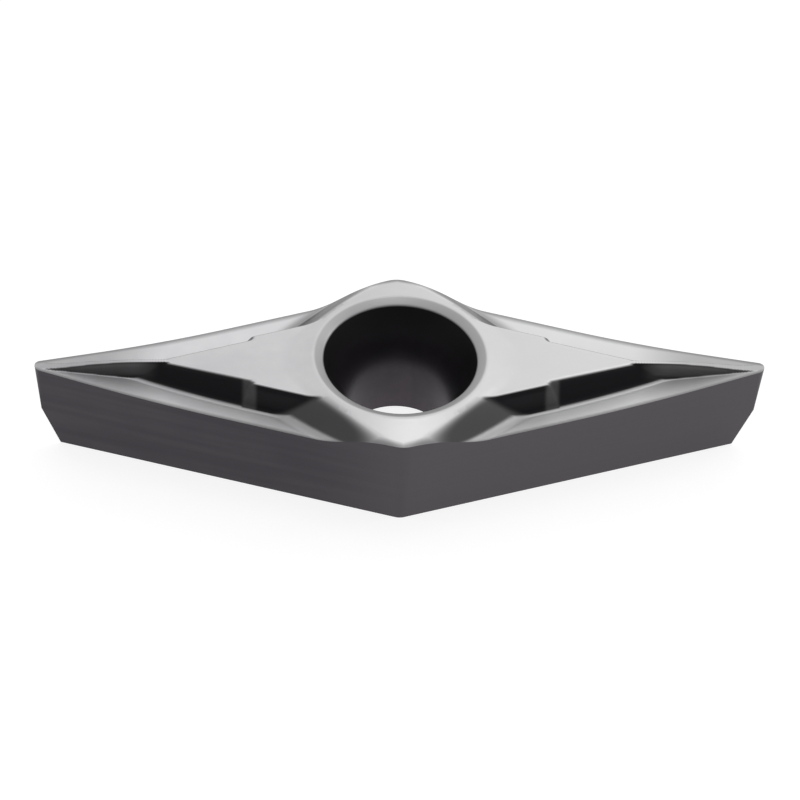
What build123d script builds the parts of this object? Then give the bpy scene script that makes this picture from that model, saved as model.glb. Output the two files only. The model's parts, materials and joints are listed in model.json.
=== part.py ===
"""Carbide turning insert: a 35 degree rhombus with relief flanks, a screw hole and a ground-in chip groove.

Frame, in millimetres: the origin is the middle of the seating face, +X runs along the long diagonal
and +Z up the axis of the screw hole. A name with RISE or DIP is a height counted from the plane
through the two cutting points. A slope is an angle from the horizontal.
"""

import os
from math import acos, cos, degrees, radians, sin, tan

from build123d import *

# Rhombus and flanks
INSCRIBED_CIRCLE = 6.35
POINT_ANGLE = 35.0
CLEARANCE_ANGLE = 7.0
NOSE_HEIGHT = 2.96
NOSE_RADIUS = 0.2
SIDE_CORNER_RADIUS = 0.8

# Cutting edges and the rake faces behind them; the dip runs back from the axis of the nose's round
EDGE_DIP = 0.30
DIP_RUN = 3.7
RAKE_ANGLE = 12.0
NOSE_RAKE_ANGLE = 7.5

# Raised middle: a hub round the hole, a pad each way from it, an arm and a thin ridge
HUB_RISE = 0.42
HUB_RIM = 0.355
HUB_SIDE_SLOPE = 47.0
HUB_FLAT_RIM = 0.07
HUB_TOP_SLOPE = 17.0
PAD_RISE = 0.26
PAD_END = 4.08
PAD_GROOVE_WIDTH = 1.04
PAD_SIDE_SLOPE = 66.0
ARM_GROOVE_WIDTH = 1.17
ARM_SIDE_SLOPE = 58.0
RIDGE_SETBACK = 0.3
RIDGE_CREST_WIDTH = 0.12
RIDGE_SIDE_SLOPE = 80.0
CREST_SETBACK = 0.5
CREST_RUN = 1.2
CREST_KNEE_RISE = 0.20

# Screw hole
BORE_DIAMETER = 2.9
SINK_DIAMETER = 4.28
SINK_ANGLE = 60.0
LIP_DIAMETER = 4.75
LIP_DEPTH = 0.11

# Rounds at the feet and along the tops of the raised middle's walls, which these slopes pick out
FOOT_RADIUS = 0.2
BRIM_RADIUS = 0.06
STEEPEST_WALL = 74.0
GENTLEST_WALL = 40.0

# How far below the hub's top the raised middle's sides are carried, under every rake face
GROOVE_DEPTH = HUB_RISE + 2 * EDGE_DIP

# How far the hole's cutter reaches past both ends
OVERCUT = 1.0

HALF_POINT = radians(POINT_ANGLE / 2)
RELIEF = tan(radians(CLEARANCE_ANGLE))
APOTHEM = INSCRIBED_CIRCLE / 2
TOP = NOSE_HEIGHT + HUB_RISE
PAD_TOP = NOSE_HEIGHT + PAD_RISE
HALF_LENGTH = APOTHEM / sin(HALF_POINT)
HALF_BREADTH = APOTHEM / cos(HALF_POINT)
NOSE_AXIS = (APOTHEM - NOSE_RADIUS) / sin(HALF_POINT)


def sloped_prism(corners, level, side_slope, low, high):
    """Convex solid between two heights whose flat sides slope.

    The corners are its outline at the given level, anticlockwise. A side slope under 90 degrees
    spreads the solid downwards and one over 90 draws it in.
    """
    slope = radians(side_slope)
    solid = Pos(0, 0, low) * Box(
        4 * HALF_LENGTH, 4 * HALF_LENGTH, high - low, align=(Align.CENTER, Align.CENTER, Align.MIN))
    for start, end in zip(corners, corners[1:] + corners[:1]):
        along = Vector(end[0] - start[0], end[1] - start[1], 0).normalized()
        facing = Vector(along.Y * sin(slope), -along.X * sin(slope), cos(slope))
        solid = split(solid, Plane((*start, level), z_dir=facing), keep=Keep.BOTTOM)
    return solid


def diamond(half_length, half_breadth):
    """Corners of a rhombus with its diagonals along X and Y."""
    return [(half_length, 0), (0, half_breadth), (-half_length, 0), (0, -half_breadth)]


def inner_diamond(inset):
    """Corners of the insert's own rhombus, drawn in on every side."""
    return diamond(HALF_LENGTH - inset / sin(HALF_POINT), HALF_BREADTH - inset / cos(HALF_POINT))


def cone_between(low_radius, low, high_radius, high):
    """Cone on the Z axis between two heights."""
    cone = Cone(low_radius, high_radius, high - low, align=(Align.CENTER, Align.CENTER, Align.MIN))
    return Pos(0, 0, low) * cone


def round_corner(body, radius, distance, half_angle, turn):
    """Cut a sharp corner back to the axis of its round and put the round there.

    The round shrinks downwards with the relief, so that it stays tangent to both flanks, and ends
    in a sharp ridge where its radius reaches nothing.
    """
    low = max(NOSE_HEIGHT - radius / RELIEF, 0)
    low_radius = max(radius - NOSE_HEIGHT * RELIEF, 0)
    top_radius = radius + HUB_RISE * RELIEF
    reach = radius * 8
    spread = reach * tan(half_angle)
    wedge = make_face(Polyline((0, 0), (reach, -spread), (reach, spread), close=True))
    place = Rot(0, 0, turn) * Pos(distance, 0, 0)
    block = place * Pos(0, 0, low) * extrude(wedge, TOP - low)
    return body - block + (block & place * cone_between(low_radius, low, top_radius, TOP))


def blank():
    """The rhombic block with its relief flanks and four rounded corners."""
    flank_slope = 90 + CLEARANCE_ANGLE
    body = sloped_prism(inner_diamond(0), NOSE_HEIGHT, flank_slope, 0, TOP)
    side_axis = (APOTHEM - SIDE_CORNER_RADIUS) / cos(HALF_POINT)
    for turn in (0, 180):
        body = round_corner(body, NOSE_RADIUS, NOSE_AXIS, radians(90) - HALF_POINT, turn)
        body = round_corner(body, SIDE_CORNER_RADIUS, side_axis, HALF_POINT, turn + 90)
    return body


def rake_ground():
    """All that lies above the four rake faces, before the raised middle is taken out of it.

    Each quarter has two rake planes that fall inwards: one from the level stretch of its cutting
    edge and a flatter one from the dipping stretch.
    """
    outward = Vector(sin(HALF_POINT), cos(HALF_POINT), 0)
    along = Vector(cos(HALF_POINT), -sin(HALF_POINT), 0)
    level_apothem = APOTHEM - EDGE_DIP * RELIEF
    dip_x = NOSE_AXIS - DIP_RUN
    dip_point = Vector(dip_x, (level_apothem - dip_x * outward.X) / outward.Y, NOSE_HEIGHT - EDGE_DIP)
    nose_point = Vector(NOSE_AXIS, 0, NOSE_HEIGHT) + outward * NOSE_RADIUS
    climb = EDGE_DIP / (nose_point - dip_point).dot(along)
    quarter = Box(2 * HALF_LENGTH, 2 * HALF_BREADTH, 2 * NOSE_HEIGHT, align=Align.MIN)
    for edge_climb, rake_angle in ((0, RAKE_ANGLE), (climb, NOSE_RAKE_ANGLE)):
        uphill = along * edge_climb + outward * tan(radians(rake_angle))
        quarter = split(quarter, Plane(dip_point, z_dir=(-uphill.X, -uphill.Y, 1)), keep=Keep.TOP)
    half = quarter + mirror(quarter, Plane.YZ)
    return half + mirror(half, Plane.XZ)


def raised_prism(corners, side_slope, level, top):
    """Piece of the raised middle, from its outline at the given level up to its top."""
    return sloped_prism(corners, level, side_slope, TOP - GROOVE_DEPTH, top)


def hub():
    """Square hub set cornerwise round the hole, its top a shallow cone that falls from the lip."""
    half_diagonal = (LIP_DIAMETER / 2 + HUB_RIM) / cos(radians(45))
    brim_level = TOP - (HUB_RIM - HUB_FLAT_RIM) * tan(radians(HUB_TOP_SLOPE))
    square = raised_prism(diamond(half_diagonal, half_diagonal), HUB_SIDE_SLOPE, brim_level, TOP)
    flat_radius = LIP_DIAMETER / 2 + HUB_FLAT_RIM
    foot_radius = flat_radius + GROOVE_DEPTH / tan(radians(HUB_TOP_SLOPE))
    return square & cone_between(foot_radius, TOP - GROOVE_DEPTH, flat_radius, TOP)


def pads():
    """Both pads, parallel to the cutting edges, each ending in a step across the groove."""
    half_breadth = (APOTHEM - PAD_GROOVE_WIDTH) / cos(HALF_POINT)
    end_half_width = half_breadth - PAD_END * tan(HALF_POINT)
    upper = [(PAD_END, end_half_width), (0, half_breadth), (-PAD_END, end_half_width)]
    return raised_prism(upper + [(-x, -y) for x, y in upper], PAD_SIDE_SLOPE, PAD_TOP, PAD_TOP)


def arms():
    """Both arms, parallel to the cutting edges, which narrow from the pads to their tips."""
    return raised_prism(inner_diamond(ARM_GROOVE_WIDTH), ARM_SIDE_SLOPE, PAD_TOP, PAD_TOP)


def ridge():
    """Thin ridge from nose to nose."""
    half_width = RIDGE_CREST_WIDTH / 2
    half_length = NOSE_AXIS - RIDGE_SETBACK
    end = [(half_length, -half_width), (half_length, half_width)]
    return raised_prism(end + [(-x, -y) for x, y in end], RIDGE_SIDE_SLOPE, PAD_TOP, PAD_TOP)


def crest_waste():
    """What lies over the falling crest, on the +X side."""
    foot_x = NOSE_AXIS - CREST_SETBACK
    knee = (foot_x - CREST_RUN, NOSE_HEIGHT + CREST_KNEE_RISE)
    end = (HALF_LENGTH, NOSE_HEIGHT - (HALF_LENGTH - foot_x) * CREST_KNEE_RISE / CREST_RUN)
    outline = Polyline((PAD_END, PAD_TOP), knee, end, (HALF_LENGTH, PAD_TOP), close=True)
    return extrude(Plane.XZ * make_face(outline), 2 * HALF_BREADTH, both=True)


def slopes_beside(body, edge):
    """Steepest and gentlest slope of the faces that meet at an edge."""
    faces = [face for face in body.faces() if any(other.is_same(edge) for other in face.edges())]
    slopes = [degrees(acos(min(abs(face.normal_at(edge @ 0.5).Z), 1))) for face in faces]
    return max(slopes), min(slopes)


def wall_edges(body, low, high):
    """Edges between two heights where a wall of the raised middle meets a gently sloping face."""
    found = []
    for edge in body.edges():
        if low < (edge @ 0.5).Z < high:
            steep, gentle = slopes_beside(body, edge)
            if GENTLEST_WALL < steep < STEEPEST_WALL and gentle < 2 * RAKE_ANGLE:
                found.append(edge)
    return found


def brimmed(piece):
    """A piece of the raised middle with the brims of its walls rounded."""
    return fillet(wall_edges(piece, NOSE_HEIGHT, TOP), BRIM_RADIUS)


def raised_middle():
    """Hub, pads, arms and ridge, under the falling crest that runs out at both noses."""
    waste = crest_waste()
    waste += mirror(waste, Plane.YZ)
    return brimmed(hub()) + brimmed(pads()) + brimmed(arms() - waste) + (ridge() - waste)


def screw_hole():
    """Through bore, the sink for the screw's head and the eased lip at the top."""
    bore = BORE_DIAMETER / 2
    sink = SINK_DIAMETER / 2
    lip = LIP_DIAMETER / 2
    sink_top = TOP - LIP_DEPTH
    sink_bottom = sink_top - (sink - bore) / tan(radians(SINK_ANGLE / 2))
    outline = Polyline(
        (0, -OVERCUT), (bore, -OVERCUT), (bore, sink_bottom), (sink, sink_top), (lip, TOP),
        (lip, TOP + OVERCUT), (0, TOP + OVERCUT), close=True)
    return revolve(Plane.XZ * make_face(outline), Axis.Z)


def insert():
    """The whole insert, one solid."""
    body = blank() - (rake_ground() - raised_middle())
    body = fillet(wall_edges(body, NOSE_HEIGHT - 2 * EDGE_DIP, NOSE_HEIGHT - EDGE_DIP), FOOT_RADIUS)
    return body - screw_hole()


if __name__ == "__main__":
    os.makedirs("parts", exist_ok=True)
    export_step(insert(), "parts/insert.step")
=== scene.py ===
"""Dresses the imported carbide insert: its ground and polished surfaces, the studio and the camera.

Lengths are in metres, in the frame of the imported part: the seating face lies on z = 0, +X runs
along the long diagonal and +Z up the axis of the screw hole.
"""

import json
import logging
import math
from dataclasses import dataclass, field
from enum import Enum
from typing import Callable, Optional, Sequence, Union

import bmesh
import bpy
from mathutils import Matrix, Vector

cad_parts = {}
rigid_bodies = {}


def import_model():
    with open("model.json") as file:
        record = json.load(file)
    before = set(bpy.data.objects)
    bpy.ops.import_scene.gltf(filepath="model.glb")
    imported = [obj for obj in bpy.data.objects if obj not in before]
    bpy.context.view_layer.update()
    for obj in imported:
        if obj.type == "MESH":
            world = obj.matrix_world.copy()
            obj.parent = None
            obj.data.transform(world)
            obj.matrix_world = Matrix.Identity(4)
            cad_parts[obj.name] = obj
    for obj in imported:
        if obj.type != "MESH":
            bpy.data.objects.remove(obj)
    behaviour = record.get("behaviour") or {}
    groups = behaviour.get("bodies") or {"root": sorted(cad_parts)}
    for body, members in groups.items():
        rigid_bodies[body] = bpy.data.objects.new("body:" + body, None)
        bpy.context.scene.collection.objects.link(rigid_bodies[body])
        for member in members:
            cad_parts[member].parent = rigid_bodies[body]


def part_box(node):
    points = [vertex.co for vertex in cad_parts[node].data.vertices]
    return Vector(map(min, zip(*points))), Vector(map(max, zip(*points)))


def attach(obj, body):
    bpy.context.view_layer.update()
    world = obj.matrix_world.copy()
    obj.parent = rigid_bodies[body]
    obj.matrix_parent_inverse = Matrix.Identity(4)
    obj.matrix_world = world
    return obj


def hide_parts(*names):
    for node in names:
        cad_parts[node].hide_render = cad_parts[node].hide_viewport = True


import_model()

log = logging.getLogger("insert")

MM = 0.001
# Name of the mesh attribute that holds painted shade: how far each point of the rake is darkened towards
# black, in place of shade and dark reflections.
PAINTED_SHADE_LAYER = "painted_shade"

Colour = tuple[float, float, float]


def smooth_step(low: float, high: float, value: float) -> float:
    """Nought below one value, one above another, and smooth between."""
    t = min(max((value - low) / (high - low), 0.0), 1.0)
    return t * t * (3 - 2 * t)


def smooth_max(a: float, b: float, reach: float) -> float:
    """The larger of two heights, with the corner between them rounded over a reach."""
    overlap = max(reach - abs(a - b), 0.0) / reach
    return max(a, b) + overlap * overlap * reach / 4


def smooth_min(a: float, b: float, reach: float) -> float:
    """The smaller of two heights, with the corner between them rounded over a reach."""
    return -smooth_max(-a, -b, reach)


class Zone(Enum):
    """The insert's differently finished surfaces, in the order of its material slots."""

    RAKE = 0
    FLANK = 1
    BORE = 2
    SEAT = 3


@dataclass
class Rhombus:
    """The insert's outline: a rounded rhombus that grows with height by the flanks' relief.

    Places are given in one quarter, both coordinates positive, and heights from the plane through
    the two cutting points.
    """

    inscribed_circle: float = 6.35 * MM
    point_angle: float = 35.0
    clearance_angle: float = 7.0
    nose_radius: float = 0.2 * MM
    side_radius: float = 0.8 * MM

    def __post_init__(self) -> None:
        """Works out the angles and the axes of the corner rounds."""
        half = math.radians(self.point_angle / 2)
        self.half_point = half
        self.sin = math.sin(half)
        self.cos = math.cos(half)
        self.relief = math.tan(math.radians(self.clearance_angle))
        self.apothem = self.inscribed_circle / 2
        self.nose_axis = (self.apothem - self.nose_radius) / self.sin
        self.side_axis = (self.apothem - self.side_radius) / self.cos

    def edge_distance(self, x: float, y: float) -> float:
        """Distance inwards from the nearest sharp side, at the nose plane."""
        return self.apothem - (x * self.sin + y * self.cos)

    def along(self, x: float, y: float) -> float:
        """Distance along the side, from the foot of its perpendicular towards the nose."""
        return x * self.cos - y * self.sin

    def nose_turn(self, x: float, y: float) -> Optional[float]:
        """Angle about the nose's axis, from the long diagonal, or None outside its round."""
        turn = math.atan2(y, x - self.nose_axis)
        return turn if turn <= math.pi / 2 - self.half_point and x >= self.nose_axis else None

    def side_turn(self, x: float, y: float) -> Optional[float]:
        """Angle about the side corner's axis, from the short diagonal, or None outside its round."""
        turn = math.atan2(x, y - self.side_axis)
        return turn if turn <= self.half_point and y >= self.side_axis else None

    def rounded(self, x: float, y: float) -> tuple[float, float]:
        """Draws a point of the sharp rhombus into the rounded one, towards the corner's axis."""
        turn = self.nose_turn(x, y)
        if turn is not None:
            pull = math.cos(math.pi / 2 - self.half_point - turn)
            return self.nose_axis + (x - self.nose_axis) * pull, y * pull
        turn = self.side_turn(x, y)
        if turn is not None:
            pull = math.cos(self.half_point - turn)
            return x * pull, self.side_axis + (y - self.side_axis) * pull
        return x, y

    def outward(self, x: float, y: float) -> tuple[float, float]:
        """Direction in which the outline grows at a point."""
        turn = self.nose_turn(x, y)
        if turn is not None:
            return math.cos(turn), math.sin(turn)
        turn = self.side_turn(x, y)
        if turn is not None:
            return math.sin(turn), math.cos(turn)
        return self.sin, self.cos

    def on_level(self, x: float, y: float, rise: float) -> tuple[float, float]:
        """Point of the outline at another height, down the flank from one of its points.

        Args:
            x: place along the long diagonal.
            y: place along the short diagonal.
            rise: height above the nose plane.

        Returns:
            The place of that point at the given height.
        """
        apothem = self.apothem + rise * self.relief
        sharp_nose = (apothem / self.sin, 0.0)
        turn = self.nose_turn(x, y)
        if turn is not None:
            radius = self.nose_radius + rise * self.relief
            if radius <= 0:
                return sharp_nose
            return self.nose_axis + radius * math.cos(turn), radius * math.sin(turn)
        turn = self.side_turn(x, y)
        if turn is not None:
            radius = self.side_radius + rise * self.relief
            return radius * math.sin(turn), self.side_axis + radius * math.cos(turn)
        along = self.along(x, y)
        lowered_y = apothem * self.cos - along * self.sin
        return (apothem * self.sin + along * self.cos, lowered_y) if lowered_y > 0 else sharp_nose


@dataclass
class RakeSide:
    """The upper side: rake faces that fall inwards, and the raised middle between them."""

    outline: Rhombus
    edge_dip: float = 0.30 * MM
    dip_run: float = 3.7 * MM
    rake_angle: float = 12.0
    nose_rake_angle: float = 7.5
    hub_rise: float = 0.42 * MM
    hub_half_width: float = 2.73 * MM
    hub_slope: float = 47.0
    hub_flat_radius: float = 2.445 * MM
    hub_top_slope: float = 17.0
    pad_rise: float = 0.26 * MM
    pad_end: float = 4.08 * MM
    pad_groove_width: float = 1.04 * MM
    pad_slope: float = 66.0
    arm_groove_width: float = 1.17 * MM
    arm_slope: float = 58.0
    ridge_crest_width: float = 0.12 * MM
    ridge_slope: float = 80.0
    crest_setback: float = 0.5 * MM
    crest_run: float = 1.2 * MM
    crest_knee_rise: float = 0.20 * MM
    foot_reach: float = 0.20 * MM
    brim_reach: float = 0.16 * MM
    hub_brim_reach: float = 0.60 * MM
    hub_brim_start: float = 2.50 * MM
    hub_brim_end: float = 3.40 * MM
    corner_reach: float = 0.12 * MM
    # The rest set the shade and light painted into the upper side's colour: painted shade on its walls, in
    # the grooves, along the cutting edges and on the lands, painted light that keeps the hub walls, the
    # ridge and the pad steps lighter, and a darkening towards each nose.
    edge_fade: float = 0.25 * MM
    wall_slopes: tuple[float, float] = (0.38, 0.92)
    hub_wall_painted_light: float = 0.076
    hub_wall_blend: float = 0.08 * MM
    ridge_painted_light: float = 0.093
    ridge_light_breadth: tuple[float, float] = (0.5 * MM, 0.15 * MM)
    ridge_light_length: tuple[float, float] = (6.6 * MM, 7.4 * MM)
    ridge_light_rise: tuple[float, float] = (-0.30 * MM, -0.12 * MM)
    step_painted_light: float = 0.085
    step_light_middle: float = 4.18 * MM
    step_light_breadth: tuple[float, float] = (0.24 * MM, 0.12 * MM)
    edge_painted_shade: float = 0.70
    nose_darkening: float = 0.42
    nose_start: tuple[float, float] = (5.8 * MM, 8.4 * MM)
    land_painted_shade: float = 0.08
    foot_painted_shade: float = 0.42
    foot_rise: tuple[float, float] = (-0.36 * MM, 0.0)
    foot_end: tuple[float, float] = (9.0 * MM, 8.2 * MM)
    land_rise: tuple[float, float] = (0.22 * MM, 0.08 * MM)
    top_painted_shade: float = 0.15
    top_rise: tuple[float, float] = (0.0, 0.10 * MM)

    def rake(self, x: float, y: float) -> float:
        """Height of the rake face, which dips from the nose to a level stretch."""
        shape = self.outline
        inwards = shape.edge_distance(x, y) - self.edge_dip * shape.relief
        level = -self.edge_dip - inwards * math.tan(math.radians(self.rake_angle))
        nose_along = shape.nose_axis * shape.cos
        climb = self.edge_dip / (self.dip_run * shape.cos)
        nose_fall = inwards * math.tan(math.radians(self.nose_rake_angle))
        dipping = climb * (shape.along(x, y) - nose_along) - nose_fall
        return smooth_max(level, dipping, self.brim_reach)

    def wall(self, outside: float, slope: float) -> float:
        """Height of a pad's or an arm's wall at a distance outside its brim."""
        return self.pad_rise - outside * math.tan(math.radians(slope))

    def crest(self, x: float) -> float:
        """Height of the pads' and arms' top, which falls towards the nose."""
        foot = self.outline.nose_axis - self.crest_setback
        knee = foot - self.crest_run
        fall = (self.pad_rise - self.crest_knee_rise) / (knee - self.pad_end)
        near = self.pad_rise - (x - self.pad_end) * fall
        far = (foot - x) * self.crest_knee_rise / self.crest_run
        return min(self.pad_rise, smooth_min(near, far, self.brim_reach))

    def hub(self, x: float, y: float) -> float:
        """Height of the hub, whose top falls gently outwards from the hole to its square sides."""
        fall = math.tan(math.radians(self.hub_top_slope))
        radius = math.hypot(x, y)
        top = self.hub_rise - max(radius - self.hub_flat_radius, 0.0) * fall
        brim_rise = self.hub_rise - (self.hub_half_width - self.hub_flat_radius) * fall
        outside = (x + y) * math.sqrt(0.5) - self.hub_half_width
        side = brim_rise - outside * math.tan(math.radians(self.hub_slope))
        widening = smooth_step(self.hub_brim_start, self.hub_brim_end, radius)
        reach = self.brim_reach + (self.hub_brim_reach - self.brim_reach) * widening
        return smooth_min(top, side, reach)

    def middle(self, x: float, y: float) -> float:
        """Height of the raised middle: the highest of its hub, pads, arms and ridge."""
        shape = self.outline
        inwards = shape.edge_distance(x, y)
        pad_side = self.wall(self.pad_groove_width - inwards, self.pad_slope)
        pad_step = self.wall(x - self.pad_end, self.pad_slope)
        pad = smooth_min(pad_side, pad_step, self.corner_reach)
        arm = self.wall(self.arm_groove_width - inwards, self.arm_slope)
        ridge = self.wall(y - self.ridge_crest_width / 2, self.ridge_slope)
        highest = smooth_max(smooth_max(pad, arm, self.corner_reach), ridge, self.brim_reach)
        highest = smooth_min(highest, self.crest(x), self.brim_reach)
        return smooth_max(highest, self.hub(x, y), self.corner_reach)

    def height(self, x: float, y: float) -> float:
        """Height of the upper side above the nose plane, in one quarter."""
        return smooth_max(self.rake(x, y), self.middle(x, y), self.foot_reach)

    def steepness(self, x: float, y: float) -> float:
        """Tangent of the upper side's slope."""
        step = 0.01 * MM
        here = self.height(x, y)
        return math.hypot(self.height(x + step, y) - here, self.height(x, y + step) - here) / step

    def painted_shade_level(self, x: float, y: float) -> float:
        """How much shade is painted on the upper side at a point, from 0 on the polished faces to 1 down
        in the groove.
        """
        pad_wall = self.wall(self.pad_groove_width - self.outline.edge_distance(x, y), self.pad_slope)
        hub_wall = smooth_step(-self.hub_wall_blend, self.hub_wall_blend, self.hub(x, y) - pad_wall)
        near_ridge = smooth_step(*self.ridge_light_breadth, y) * smooth_step(*self.ridge_light_length, x)
        near_ridge *= smooth_step(*self.ridge_light_rise, self.height(x, y))
        near_step = smooth_step(*self.step_light_breadth, abs(x - self.step_light_middle))
        # Painted light: the hub walls, the ridge and the pad steps keep part of their colour, for the
        # lighter reflections on them.
        painted_light = max(
            self.hub_wall_painted_light * hub_wall, self.ridge_painted_light * near_ridge, self.step_painted_light * near_step)
        # Painted shade on the steep walls, along the cutting edges, at the foot of the walls and on the
        # lands; darker towards each nose and a little darker on the raised middle's top.
        wall = smooth_step(*self.wall_slopes, self.steepness(x, y)) * (1 - painted_light)
        edge = self.edge_painted_shade * smooth_step(self.edge_fade, 0.0, self.outline.edge_distance(x, y))
        nose = self.nose_darkening * smooth_step(*self.nose_start, x)
        rise = self.middle(x, y) - self.rake(x, y)
        foot = self.foot_painted_shade * smooth_step(*self.foot_rise, rise) * smooth_step(*self.foot_end, x)
        land = (self.land_painted_shade + foot) * smooth_step(*self.land_rise, rise)
        top = self.top_painted_shade * smooth_step(*self.top_rise, rise)
        return max(wall, edge, nose, top, land)


@dataclass
class ScrewHole:
    """The screw hole, as the radius and depth of each ring down from the hub's top."""

    bore_radius: float = 1.45 * MM
    sink_radius: float = 2.14 * MM
    sink_angle: float = 60.0
    lip_radius: float = 2.375 * MM
    lip_depth: float = 0.11 * MM
    cone_radius: float = 2.52 * MM
    cone_depth: float = 0.023 * MM
    flat_radius: float = 2.445 * MM
    lip_ease: float = 0.05 * MM
    # Painted shade: a little on the hub's top, more over the lip and in full down the sink, for the dark
    # reflections in the hole.
    top_painted_shade: float = 0.15
    lip_painted_shade: float = 0.53
    sink_ease: float = 0.75 * MM
    ease_steps: int = 8
    segments: int = 192

    def rings(self, thickness: float) -> list[tuple[float, float]]:
        """Radius and depth of each ring, from the hub's top down to the seating face."""
        sink_slope = math.tan(math.radians(self.sink_angle / 2))
        sink_depth = self.lip_depth + (self.sink_radius - self.bore_radius) / sink_slope
        corners = [
            (self.cone_radius, self.cone_depth),
            (self.flat_radius, 0.0),
            (self.lip_radius, 0.0),
            (self.sink_radius, self.lip_depth),
            (self.bore_radius, sink_depth),
            (self.bore_radius, thickness),
        ]
        eases = [self.lip_ease, self.lip_ease, self.lip_ease, self.sink_ease]
        eased = [corners[0]]
        for before, corner, after, ease in zip(corners, corners[1:], corners[2:], eases):
            eased += self.eased(Vector(before), Vector(corner), Vector(after), ease)
        return eased + [corners[-1]]

    def painted_shade_level(self, radius: float, depth: float) -> float:
        """How much shade is painted on a ring, from the polished top over the lip into the sink."""
        into_sink = smooth_step(0.9 * self.lip_depth, self.lip_depth + self.lip_ease, depth)
        on_lip = smooth_step(self.lip_radius + self.lip_ease, self.lip_radius - self.lip_ease, radius)
        on_top = self.top_painted_shade * (1 - on_lip)
        return on_top + on_lip * self.lip_painted_shade + into_sink * (1 - self.lip_painted_shade)

    def eased(
        self,
        before: Vector,
        corner: Vector,
        after: Vector,
        ease: float,
    ) -> list[tuple[float, float]]:
        """Points of a small round in place of one corner of the section."""
        reach = min(ease, 0.45 * (before - corner).length, 0.45 * (after - corner).length)
        start = corner + (before - corner).normalized() * reach
        end = corner + (after - corner).normalized() * reach
        steps = [step / self.ease_steps for step in range(self.ease_steps + 1)]
        return [tuple(start.lerp(corner, t).lerp(corner.lerp(end, t), t)) for t in steps]


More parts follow.
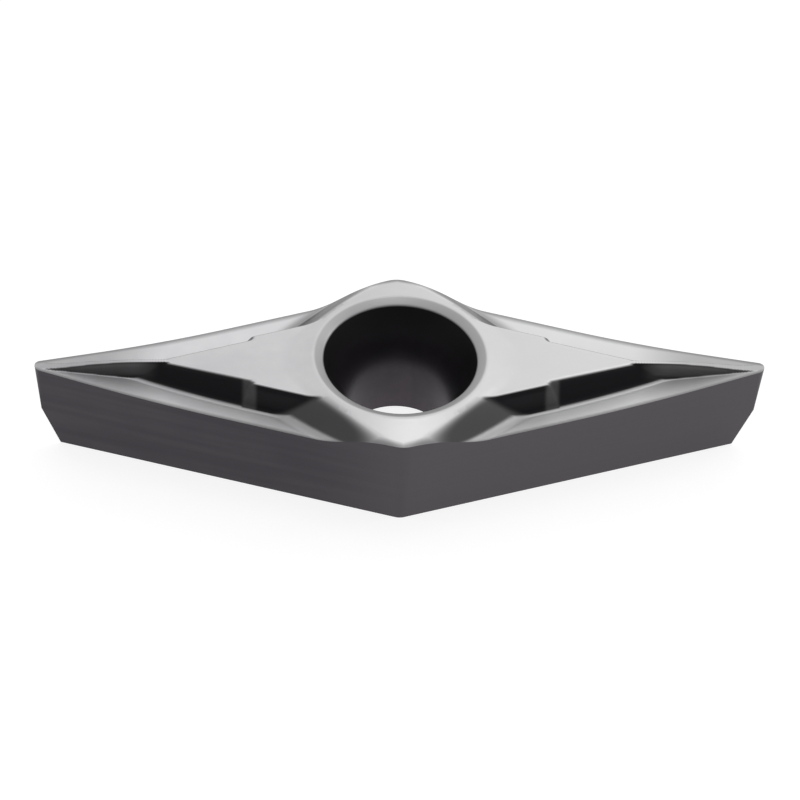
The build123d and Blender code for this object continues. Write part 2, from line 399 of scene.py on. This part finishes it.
@dataclass
class InsertBody:
    """The one sintered piece, as a closed mesh with its finer rounds and four finishes."""

    outline: Rhombus = field(default_factory=Rhombus)
    hole: ScrewHole = field(default_factory=ScrewHole)
    fine_band: float = 1.40 * MM
    fine_rows: int = 60
    coarse_rows: int = 42
    follow_band: float = 0.5 * MM
    flank_depths: Sequence[float] = (0.45 * MM, 1.0 * MM, 1.4 * MM)
    fill_band: float = 0.12 * MM
    opening_share: float = 1.3
    weld: float = 0.0005 * MM
    sharp_angle: float = math.radians(30)

    def __post_init__(self) -> None:
        """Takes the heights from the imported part."""
        self.rake_side = RakeSide(self.outline)
        self.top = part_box("insert")[1][2]
        self.nose_height = self.top - self.rake_side.hub_rise

    def edge_warp(self, t: float) -> float:
        """Distance in from a side for a row of the grid, t from 0 at the side to 1 at the middle."""
        rows = t * (self.fine_rows + self.coarse_rows)
        if rows <= self.fine_rows:
            return rows * self.fine_band / self.fine_rows
        rest = self.outline.apothem - self.fine_band
        return self.fine_band + (rows - self.fine_rows) * rest / self.coarse_rows

    def place(self, p: float, q: float) -> Vector:
        """Moves a corner of the unit grid to its place on the upper side.

        Args:
            p: grid coordinate across one pair of sides, from -1 to 1.
            q: grid coordinate across the other pair.

        Returns:
            The point's place, with its height.
        """
        shape = self.outline
        across_p = math.copysign(shape.apothem - self.edge_warp(1 - abs(p)), p)
        across_q = math.copysign(shape.apothem - self.edge_warp(1 - abs(q)), q)
        full_x = (across_p - across_q) / (2 * shape.sin)
        full_y = (across_p + across_q) / (2 * shape.cos)
        x, y = shape.rounded(abs(full_x), abs(full_y))
        inwards = shape.edge_distance(abs(full_x), abs(full_y))
        follow = max(1 - inwards / self.follow_band, 0.0) * shape.relief
        out_x, out_y = shape.outward(x, y)
        rise = self.rake_side.height(x, y)
        for _ in range(2):
            grown_x = x + out_x * rise * follow
            grown_y = y + out_y * rise * follow
            rise = self.rake_side.height(grown_x, grown_y)
        signed_x = math.copysign(grown_x, full_x)
        signed_y = math.copysign(grown_y, full_y)
        return Vector((signed_x, signed_y, self.nose_height + rise))

    def upper_side(self, mesh: bmesh.types.BMesh) -> list[bmesh.types.BMEdge]:
        """Shapes a square grid into the upper side and returns its outer loop of edges."""
        rows = 2 * (self.fine_rows + self.coarse_rows)
        bmesh.ops.create_grid(mesh, x_segments=rows, y_segments=rows, size=1.0)
        painted_shade = mesh.verts.layers.float.new(PAINTED_SHADE_LAYER)
        for vert in mesh.verts:
            vert.co = self.place(round(vert.co.x, 6), round(vert.co.y, 6))
            # Painted shade, kept in the mesh attribute.
            vert[painted_shade] = self.rake_side.painted_shade_level(abs(vert.co.x), abs(vert.co.y))
        return [edge for edge in mesh.edges if edge.is_boundary]

    def cut_hole(
        self,
        mesh: bmesh.types.BMesh,
        level: float,
        first_radius: float,
    ) -> list[bmesh.types.BMEdge]:
        """Opens the flat top of the hub and fits a true circle into the opening.

        Args:
            mesh: the upper side.
            level: height of the hub's top.
            first_radius: radius of the circle.

        Returns:
            The circle's edges.
        """
        inner = [v for v in mesh.verts if math.hypot(v.co.x, v.co.y) < first_radius + self.fill_band]
        bmesh.ops.delete(mesh, geom=inner, context="VERTS")
        reach = first_radius * self.opening_share
        opening = [e for e in mesh.edges if e.is_boundary and e.verts[0].co.xy.length < reach]
        circle = self.circle(mesh, first_radius, level)
        filled = bmesh.ops.triangle_fill(mesh, edges=opening + circle, use_beauty=True, normal=(0, 0, 1))
        made = filled["geom"]
        self.paint(made, Zone.RAKE)
        faces = [part for part in made if isinstance(part, bmesh.types.BMFace)]
        edges = [part for part in made if isinstance(part, bmesh.types.BMEdge)]
        bmesh.ops.beautify_fill(mesh, faces=faces, edges=edges, method="ANGLE")
        return circle

    def circle(self, mesh: bmesh.types.BMesh, radius: float, level: float) -> list[bmesh.types.BMEdge]:
        """Adds a bare circle on the hole's axis and returns its edges."""
        lift = Matrix.Translation((0, 0, level))
        made = bmesh.ops.create_circle(mesh, segments=self.hole.segments, radius=radius, matrix=lift)
        return list({edge for vert in made["verts"] for edge in vert.link_edges})

    def next_ring(
        self,
        mesh: bmesh.types.BMesh,
        ring: list[bmesh.types.BMEdge],
        move: Callable[[Vector], Vector],
        zone: Zone,
    ) -> list[bmesh.types.BMEdge]:
        """Extrudes a ring of edges and moves the new ring into place.

        Args:
            mesh: the mesh that the ring is in.
            ring: the edges to extrude.
            move: gives each new point its place.
            zone: finish of the new faces.

        Returns:
            The new ring's edges.
        """
        made = bmesh.ops.extrude_edge_only(mesh, edges=ring)["geom"]
        verts = [part for part in made if isinstance(part, bmesh.types.BMVert)]
        for vert in verts:
            vert.co = move(vert.co)
        self.paint(made, zone)
        fresh = set(verts)
        return [e for e in made if isinstance(e, bmesh.types.BMEdge) and fresh.issuperset(e.verts)]

    def paint(self, parts: Sequence[object], zone: Zone) -> None:
        """Gives the faces among some parts of a mesh the finish of a zone."""
        for part in parts:
            if isinstance(part, bmesh.types.BMFace):
                part.material_index = zone.value
                part.smooth = True

    def mark(self, mesh: bmesh.types.BMesh, ring: list[bmesh.types.BMEdge], painted_shade_level: float) -> None:
        """Sets the painted shade of a ring of edges."""
        painted_shade = mesh.verts.layers.float[PAINTED_SHADE_LAYER]
        for edge in ring:
            for vert in edge.verts:
                vert[painted_shade] = painted_shade_level

    def down_flank(self, level: float) -> Callable[[Vector], Vector]:
        """Gives the move of an outline point down its flank to a level."""

        def move(point: Vector) -> Vector:
            """Slides one point down the flank."""
            x, y = self.outline.on_level(abs(point.x), abs(point.y), level - self.nose_height)
            return Vector((math.copysign(x, point.x), math.copysign(y, point.y), level))

        return move

    def build(self) -> bpy.types.Object:
        """Makes the whole closed mesh and returns its object."""
        mesh = bmesh.new()
        rim = self.upper_side(mesh)
        self.paint(list(mesh.faces), Zone.RAKE)
        sharp = list(rim)
        ring = rim
        for level in [self.nose_height - depth for depth in self.flank_depths] + [self.knee_level(), 0.0]:
            ring = self.next_ring(mesh, ring, self.down_flank(level), Zone.FLANK)
        sharp += ring
        rings = self.hole.rings(self.top)
        circle = self.cut_hole(mesh, self.top - rings[0][1], rings[0][0])
        self.mark(mesh, circle, self.hole.painted_shade_level(*rings[0]))
        for radius, depth in rings[1:]:
            zone = Zone.RAKE if depth <= self.hole.lip_depth + self.hole.lip_ease else Zone.BORE
            circle = self.next_ring(mesh, circle, self.to_ring(radius, self.top - depth), zone)
            self.mark(mesh, circle, self.hole.painted_shade_level(radius, depth))
        sharp += circle
        for edge in sharp:
            edge.smooth = False
        bmesh.ops.remove_doubles(mesh, verts=list(mesh.verts), dist=self.weld)
        bmesh.ops.dissolve_degenerate(mesh, edges=list(mesh.edges), dist=self.weld)
        self.sharpen_nose(mesh)
        open_edges = [edge for edge in mesh.edges if edge.is_boundary]
        seat = bmesh.ops.triangle_fill(mesh, edges=open_edges, use_beauty=True, normal=(0, 0, -1))
        self.paint(seat["geom"], Zone.SEAT)
        bmesh.ops.recalc_face_normals(mesh, faces=list(mesh.faces))
        data = bpy.data.meshes.new("insert_body")
        mesh.to_mesh(data)
        closed = all(edge.is_manifold for edge in mesh.edges)
        log.info("insert body: %d faces, closed %s", len(mesh.faces), closed)
        mesh.free()
        piece = bpy.data.objects.new("insert_body", data)
        bpy.context.scene.collection.objects.link(piece)
        return piece

    def sharpen_nose(self, mesh: bmesh.types.BMesh) -> None:
        """Marks the bare ridge under each nose's round, where the two flanks meet."""
        top = self.knee_level() + self.weld
        for edge in mesh.edges:
            if max(vert.co.z for vert in edge.verts) < top and edge.is_manifold:
                if edge.calc_face_angle() > self.sharp_angle:
                    edge.smooth = False

    def knee_level(self) -> float:
        """Height at which the nose's round runs out into a sharp ridge."""
        return self.nose_height - self.outline.nose_radius / self.outline.relief

    def to_ring(self, radius: float, level: float) -> Callable[[Vector], Vector]:
        """Gives the move of a circle's point to another radius and level."""

        def move(point: Vector) -> Vector:
            """Puts one point on the new ring."""
            flat = point.xy.normalized() * radius
            return Vector((flat.x, flat.y, level))

        return move


class Shade:
    """A socket in a node tree, with arithmetic that adds Math nodes."""

    def __init__(self, maker: "NodeMaker", socket: bpy.types.NodeSocket) -> None:
        """Wraps one output socket."""
        self.maker = maker
        self.socket = socket

    def maths(self, operation: str, *values: Union["Shade", float]) -> "Shade":
        """Adds one Math node."""
        return self.maker.node("ShaderNodeMath", {"operation": operation}, dict(enumerate(values)))

    def __add__(self, other: Union["Shade", float]) -> "Shade":
        """Sum."""
        return self.maths("ADD", self, other)

    def __radd__(self, other: float) -> "Shade":
        """Sum, from the right."""
        return self.maths("ADD", other, self)

    def __mul__(self, other: Union["Shade", float]) -> "Shade":
        """Product."""
        return self.maths("MULTIPLY", self, other)

    def __rmul__(self, other: float) -> "Shade":
        """Product, from the right."""
        return self.maths("MULTIPLY", other, self)

    def ramp(self, low: float, high: float) -> "Shade":
        """Nought below one value, one above another, and smooth between."""
        settings = {"interpolation_type": "SMOOTHSTEP"}
        inputs = {"Value": self, "From Min": low, "From Max": high}
        return self.maker.node("ShaderNodeMapRange", settings, inputs)


class NodeMaker:
    """Adds nodes to one tree."""

    def __init__(self, tree: bpy.types.NodeTree) -> None:
        """Empties a tree and keeps it."""
        self.tree = tree
        tree.nodes.clear()

    def node(
        self,
        kind: str,
        settings: Optional[dict[str, object]] = None,
        inputs: Optional[dict[Union[str, int], object]] = None,
        output: Union[str, int] = 0,
    ) -> Shade:
        """Adds one node.

        Args:
            kind: the node's type.
            settings: the node's own settings, set first.
            inputs: a value or a Shade for each named or numbered socket.
            output: the socket that is handed back.

        Returns:
            The node's output, wrapped.
        """
        made = self.tree.nodes.new(kind)
        for name, value in (settings or {}).items():
            setattr(made, name, value)
        for name, value in (inputs or {}).items():
            if isinstance(value, Shade):
                self.tree.links.new(value.socket, made.inputs[name])
            else:
                made.inputs[name].default_value = value
        return Shade(self, made.outputs[output]) if len(made.outputs) else Shade(self, None)

    def mix_colour(self, amount: Union[Shade, float], first: object, second: object) -> Shade:
        """Mixes two colours."""
        settings = {"data_type": "RGBA"}
        inputs = {0: amount, 6: self.colour(first), 7: self.colour(second)}
        return self.node("ShaderNodeMix", settings, inputs, output=2)

    @staticmethod
    def colour(value: object) -> object:
        """Adds the alpha of one to a bare colour."""
        return value if isinstance(value, Shade) else (*value, 1.0)

    def noise(self, place: Shade, scale: float, detail: float = 2.0, roughness: float = 0.5) -> Shade:
        """Noise between nought and one."""
        inputs = {"Vector": place, "Scale": scale, "Detail": detail, "Roughness": roughness}
        return self.node("ShaderNodeTexNoise", {}, inputs)

    def stretched(self, place: Shade, scale: Colour, turn: float = 0.0) -> Shade:
        """Turns a place about Z and scales it."""
        inputs = {"Vector": place, "Scale": scale, "Rotation": (0.0, 0.0, turn)}
        return self.node("ShaderNodeMapping", {"vector_type": "POINT"}, inputs)


@dataclass(frozen=True)
class MetalFinish:
    """How one zone of the carbide is finished, with the light and shade painted into its colour."""

    name: str
    colour: Colour
    mottle_colour: Colour
    roughness: float
    roughness_spread: float
    grain_scale: float
    line_depth: float
    line_scale: Colour
    streak_scale: Colour
    streak_colour: Colour
    streak_share: float = 0.0
    metallic: float = 1.0
    # Painted light and shade: a colour blended in along one axis of the object.
    painted_light_shade_colour: Optional[Colour] = None
    fade_axis: int = 0
    fade_range: tuple[float, float] = (-8 * MM, 8 * MM)
    # Painted shade: the colour blended in by the mesh attribute of painted shade.
    painted_shade_colour: Optional[Colour] = None

    def material(self) -> bpy.types.Material:
        """Builds the finish's material."""
        made = bpy.data.materials.new(self.name)
        made.use_nodes = True
        nodes = NodeMaker(made.node_tree)
        place = nodes.node("ShaderNodeTexCoord", output="Object")
        mottle = nodes.noise(place, self.grain_scale, 4.0, 0.6)
        lines = nodes.noise(nodes.stretched(place, self.line_scale), 1.0, 3.0, 0.6)
        streaks = nodes.noise(nodes.stretched(place, self.streak_scale), 1.0, 2.0, 0.5)
        base = nodes.mix_colour(mottle.ramp(0.3, 0.7), self.colour, self.mottle_colour)
        base = nodes.mix_colour(streaks.ramp(0.35, 0.7) * self.streak_share, base, self.streak_colour)
        # Painted light and shade along one axis.
        if self.painted_light_shade_colour:
            along = nodes.node("ShaderNodeSeparateXYZ", {}, {0: place}, output=self.fade_axis)
            base = nodes.mix_colour(along.ramp(*self.fade_range), base, self.painted_light_shade_colour)
        # Painted shade from the mesh attribute.
        if self.painted_shade_colour:
            painted_shade = nodes.node("ShaderNodeAttribute", {"attribute_name": PAINTED_SHADE_LAYER}, output="Fac")
            base = nodes.mix_colour(painted_shade, base, self.painted_shade_colour)
        rough = lines * self.roughness_spread + (self.roughness - self.roughness_spread / 2)
        bump = nodes.node(
            "ShaderNodeBump", {}, {"Strength": 1.0, "Distance": self.line_depth, "Height": lines})
        surface = nodes.node(
            "ShaderNodeBsdfPrincipled", {},
            {"Base Color": base, "Metallic": self.metallic, "Roughness": rough, "Normal": bump})
        nodes.node("ShaderNodeOutputMaterial", {}, {"Surface": surface})
        return made


# The polished rake: lighter towards +X, painted light, and darkened by the painted shade of its mesh
# attribute.
POLISHED = MetalFinish(
    name="polished_rake", colour=(0.86, 0.85, 0.86), mottle_colour=(0.79, 0.78, 0.80), roughness=0.38,
    roughness_spread=0.06, grain_scale=1400.0, line_depth=0.0006 * MM, line_scale=(5000.0, 9000.0, 5000.0),
    streak_scale=(200.0, 700.0, 400.0), streak_colour=(0.73, 0.72, 0.74), streak_share=0.5, metallic=0.5,
    painted_light_shade_colour=(0.95, 0.95, 0.95), painted_shade_colour=(0.007, 0.006, 0.008))
# The ground flank: its dark colour is painted shade, for the dark surroundings that it reflects, and it
# turns lighter towards +X, painted light.
GROUND = MetalFinish(
    name="ground_flank", colour=(0.060, 0.056, 0.062), mottle_colour=(0.053, 0.049, 0.056), roughness=0.42,
    roughness_spread=0.08, grain_scale=500.0, line_depth=0.0006 * MM, line_scale=(300.0, 300.0, 12000.0),
    streak_scale=(120.0, 120.0, 2400.0), streak_colour=(0.042, 0.038, 0.045), streak_share=0.6,
    painted_light_shade_colour=(0.081, 0.074, 0.083), fade_range=(-3 * MM, 1 * MM))
# The bore: its dark colour is painted shade, darkest towards the top of the hole.
BORE = MetalFinish(
    name="pressed_bore", colour=(0.070, 0.057, 0.070), mottle_colour=(0.054, 0.045, 0.056), roughness=0.4,
    roughness_spread=0.08, grain_scale=1200.0, line_depth=0.0008 * MM, line_scale=(4000.0, 4000.0, 4000.0),
    streak_scale=(1500.0, 1500.0, 300.0), streak_colour=(0.040, 0.035, 0.042), streak_share=0.5,
    metallic=0.5, painted_light_shade_colour=(0.008, 0.007, 0.008), fade_axis=2, fade_range=(0.6 * MM, 3.3 * MM))
SEAT = MetalFinish(
    name="ground_seat", colour=(0.20, 0.19, 0.21), mottle_colour=(0.16, 0.15, 0.17), roughness=0.35,
    roughness_spread=0.06, grain_scale=500.0, line_depth=0.0003 * MM, line_scale=(300.0, 4000.0, 300.0),
    streak_scale=(80.0, 1500.0, 80.0), streak_colour=(0.15, 0.14, 0.16), streak_share=0.5)

FINISHES = {Zone.RAKE: POLISHED, Zone.FLANK: GROUND, Zone.BORE: BORE, Zone.SEAT: SEAT}


def dress(piece: bpy.types.Object) -> None:
    """Gives the insert a material for each of its zones."""
    for zone in Zone:
        piece.data.materials.append(FINISHES[zone].material())


@dataclass(frozen=True)
class Lamp:
    """One soft area lamp that looks at the insert."""

    name: str
    place: tuple[float, float, float]
    size: float
    power: float

    def add(self, target: Vector) -> None:
        """Puts the lamp in the scene, turned to a target."""
        data = bpy.data.lights.new(self.name, "AREA")
        data.shape = "DISK"
        data.size = self.size
        data.energy = self.power
        lamp = bpy.data.objects.new(self.name, data)
        lamp.location = self.place
        lamp.rotation_euler = (target - Vector(self.place)).to_track_quat("-Z", "Y").to_euler()
        bpy.context.scene.collection.objects.link(lamp)


LAMPS = (
    Lamp("lamp_over", (0.03, 0.04, 0.34), 0.10, 0.06),
    Lamp("lamp_right", (0.25, 0.10, 0.16), 0.16, 0.10),
)


@dataclass
class Studio:
    """Pale floor, soft light and the camera at the photograph's viewing angle."""

    floor_size: float = 4.0
    floor_gap: float = 0.01 * MM
    floor_glow: float = 0.82
    floor_colour: Colour = (0.30, 0.30, 0.30)
    sky_up: float = 0.75
    sky_back: float = 0.66
    sky_range: tuple[float, float] = (-0.6, 0.8)
    side_range: tuple[float, float] = (-0.25, 0.3)
    side_share: float = 0.16
    low_range: tuple[float, float] = (0.0, 0.6)
    low_share: float = 0.25
    dark_sky: Colour = (0.10, 0.10, 0.105)
    pale_sky: Colour = (0.92, 0.92, 0.92)
    camera_turn: float = -3.465
    camera_height: float = 44.692
    camera_roll: float = 2.594
    camera_distance: float = 259.2 * MM
    camera_shift: float = 0.913 * MM
    focal_length: float = 422.06

    def floor(self) -> None:
        """Adds the floor, which glows white round the shadow and is clear from below."""
        mesh = bmesh.new()
        place = Matrix.Translation((0, 0, -self.floor_gap))
        bmesh.ops.create_grid(mesh, x_segments=1, y_segments=1, size=self.floor_size, matrix=place)
        data = bpy.data.meshes.new("floor")
        mesh.to_mesh(data)
        mesh.free()
        floor = bpy.data.objects.new("floor", data)
        bpy.context.scene.collection.objects.link(floor)
        made = bpy.data.materials.new("floor")
        made.use_nodes = True
        nodes = NodeMaker(made.node_tree)
        surface = nodes.node(
            "ShaderNodeBsdfPrincipled", {},
            {"Base Color": (*self.floor_colour, 1.0), "Roughness": 0.9, "Specular IOR Level": 0.0,
             "Emission Color": (1.0, 1.0, 1.0, 1.0), "Emission Strength": self.floor_glow})
        under = nodes.node("ShaderNodeNewGeometry", output="Backfacing")
        clear = nodes.node("ShaderNodeBsdfTransparent")
        one_sided = nodes.node("ShaderNodeMixShader", {}, {0: under, 1: surface, 2: clear})
        nodes.node("ShaderNodeOutputMaterial", {}, {"Surface": one_sided})
        data.materials.append(made)

    def world(self) -> None:
        """Fills the world with soft light, brightest above and behind."""
        world = bpy.data.worlds.new("studio")
        bpy.context.scene.world = world
        world.use_nodes = True
        nodes = NodeMaker(world.node_tree)
        way = nodes.node("ShaderNodeTexCoord", output="Generated")
        split = nodes.node("ShaderNodeSeparateXYZ", {}, {0: way}).socket.node
        across, back, up = (Shade(nodes, socket) for socket in split.outputs)
        lit = (up * self.sky_up + back * self.sky_back).ramp(*self.sky_range)
        side = across.ramp(*self.side_range) * self.side_share + (1 - self.side_share)
        low = up.ramp(*self.low_range) * self.low_share + (1 - self.low_share)
        grey = nodes.mix_colour(lit * side * low, self.dark_sky, self.pale_sky)
        light = nodes.node("ShaderNodeBackground", {}, {"Color": grey, "Strength": 1.0})
        nodes.node("ShaderNodeOutputWorld", {}, {"Surface": light})

    def camera(self, target: Vector) -> None:
        """Puts the camera where the photograph's was, looking just under the insert's middle."""
        turn = math.radians(self.camera_turn)
        height = math.radians(self.camera_height)
        roll = math.radians(self.camera_roll)
        flat = math.cos(height)
        back = Vector((math.sin(turn) * flat, -math.cos(turn) * flat, math.sin(height)))
        level = Vector((math.cos(turn), math.sin(turn), 0.0))
        upright = back.cross(level)
        right = level * math.cos(roll) + upright * math.sin(roll)
        up = upright * math.cos(roll) - level * math.sin(roll)
        data = bpy.data.cameras.new("camera")
        data.lens = self.focal_length
        data.clip_start = 0.01
        camera = bpy.data.objects.new("camera", data)
        place = target + back * self.camera_distance - up * self.camera_shift
        camera.matrix_world = Matrix.Translation(place) @ Matrix((right, up, back)).transposed().to_4x4()
        bpy.context.scene.collection.objects.link(camera)
        bpy.context.scene.camera = camera

    def build(self, nose_height: float) -> None:
        """Sets the whole studio up."""
        scene = bpy.context.scene
        scene.view_settings.view_transform = "Standard"
        self.floor()
        self.world()
        target = Vector((0.0, 0.0, nose_height))
        for lamp in LAMPS:
            lamp.add(target)
        self.camera(target)


def main() -> None:
    """Builds and dresses the insert, then the studio round it."""
    logging.basicConfig(level=logging.INFO, format="%(name)s: %(message)s")
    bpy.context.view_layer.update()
    body = InsertBody()
    piece = body.build()
    dress(piece)
    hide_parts("insert")
    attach(piece, "root")
    Studio().build(body.nose_height)


if __name__ == "__main__":
    main()
